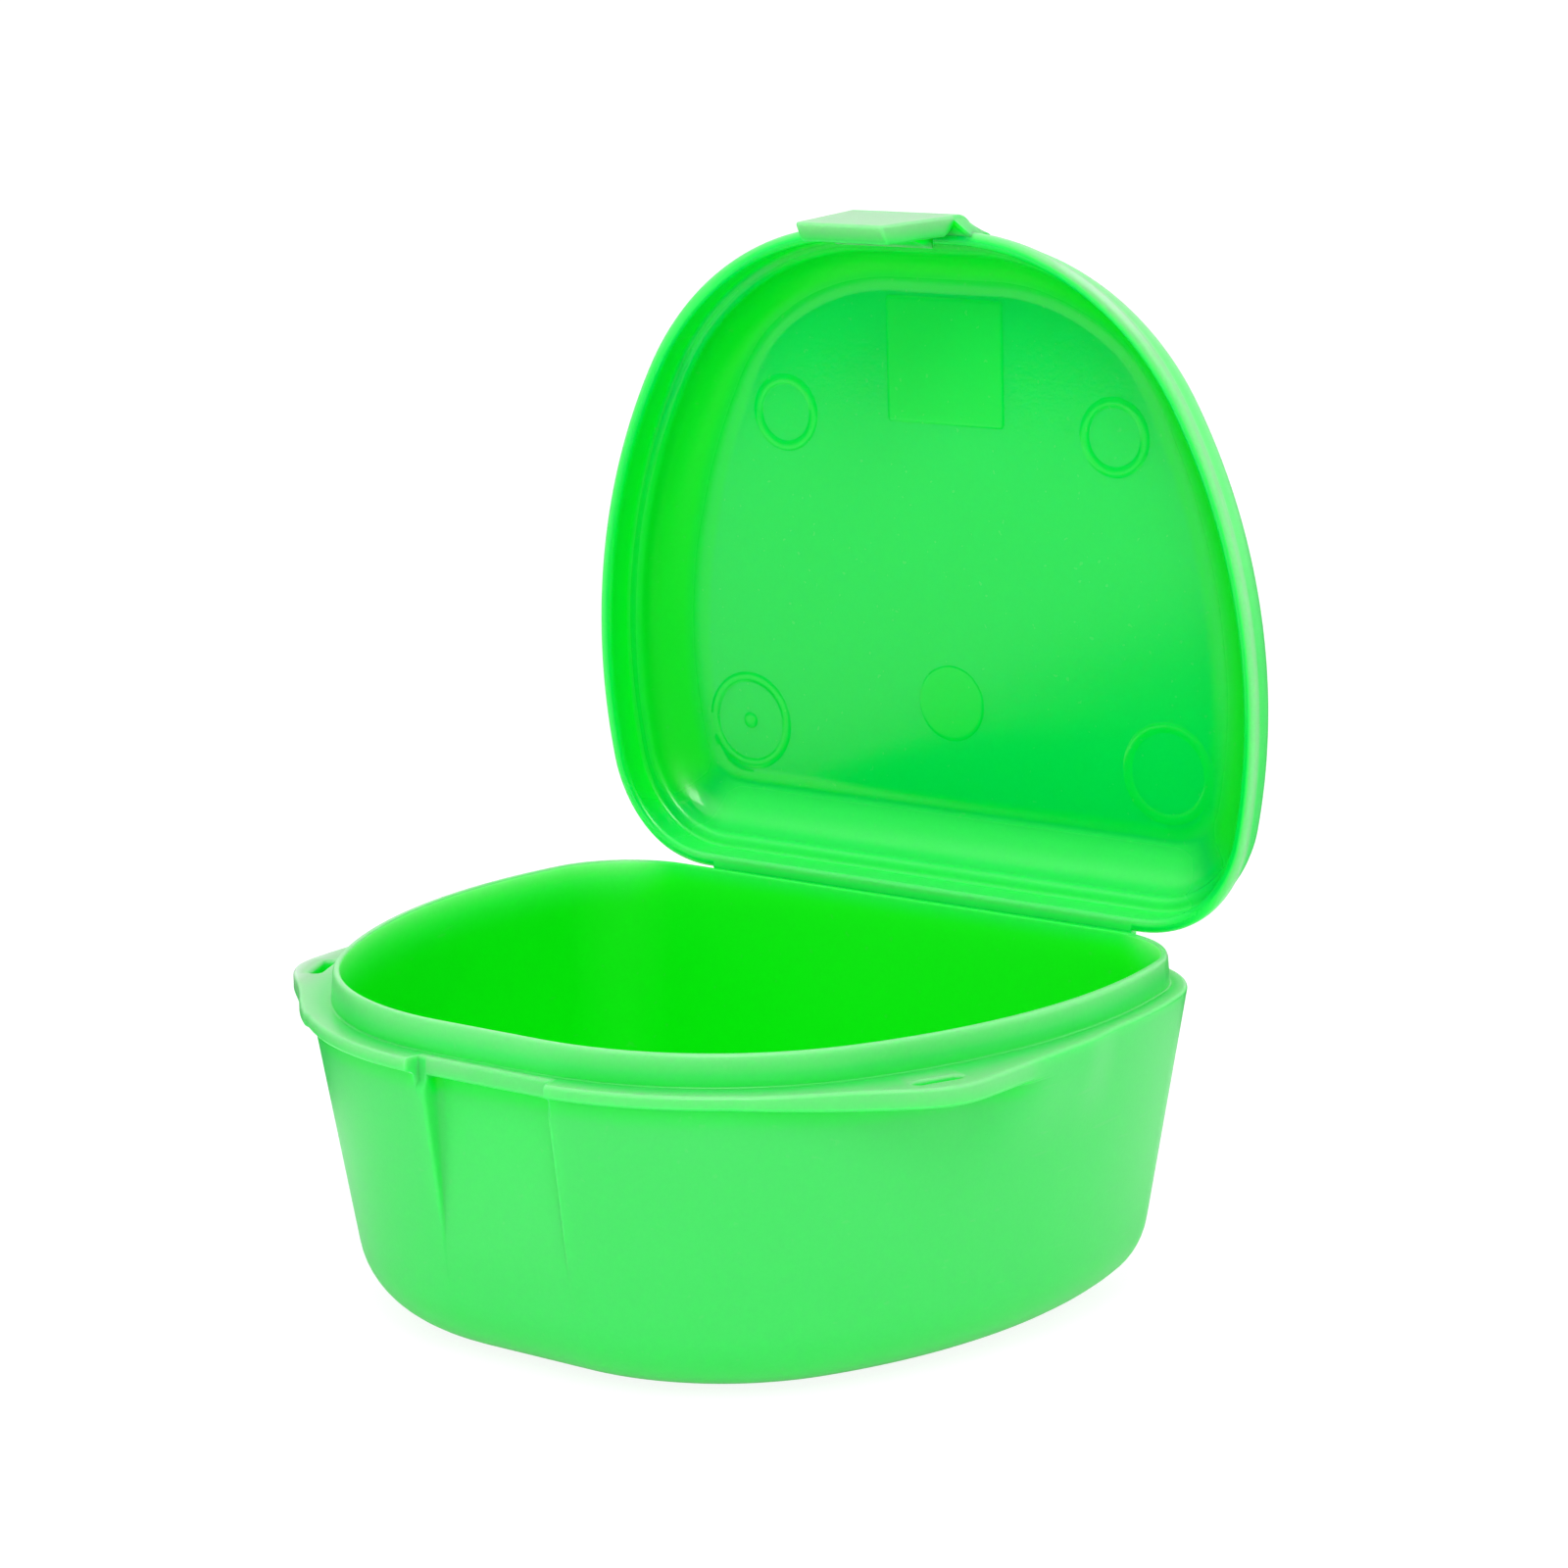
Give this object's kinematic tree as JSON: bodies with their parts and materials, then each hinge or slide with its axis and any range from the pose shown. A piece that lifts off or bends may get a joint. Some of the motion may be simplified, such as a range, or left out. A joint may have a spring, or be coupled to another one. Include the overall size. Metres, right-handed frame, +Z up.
{
  "type": "orthodontic retainer case",
  "caption": "D-shaped plastic retainer case: a drafted tub with a collar and lanyard ears, a domed lid on a living hinge, and a front snap tab. Drawn with the lid open.",
  "frame": {"origin": "middle of the tub's rim plan (half its width and half its depth), on the flat underside that it stands on", "axes": "+Z up, +Y towards the hinge at the rear, so the latch is at -Y; +X to the right seen from the front"},
  "size_m": [0.08, 0.08, 0.1023],
  "materials": {
    "tub_plastic": "satin moulded polypropylene, slightly translucent green",
    "web_plastic": "thin flexed polypropylene, translucent green",
    "lid_plastic": "satin moulded polypropylene, slightly translucent green",
    "tab_plastic": "satin moulded polypropylene, slightly translucent green"
  },
  "bodies": {
    "base": {"base_tub": "tub_plastic", "hinge_web": "web_plastic"},
    "lid": {"lid_shell": "lid_plastic"},
    "latch": {"latch_tab": "tab_plastic"}
  },
  "joints": [
    {"name": "lid_hinge", "type": "hinge", "parent": "base", "child": "lid", "pos_m": [0, 0.03618, 0.0305], "axis": [-1, 0, 0], "range_deg": [-88, 92], "deforming": ["hinge_web"]},
    {"name": "latch_flex", "type": "hinge", "parent": "lid", "child": "latch", "pos_m": [0, 0.03377, 0.10224], "axis": [-1, 0, 0], "range_deg": [0, 30], "stiffness_Nm_per_rad": 0.1}
  ]
}
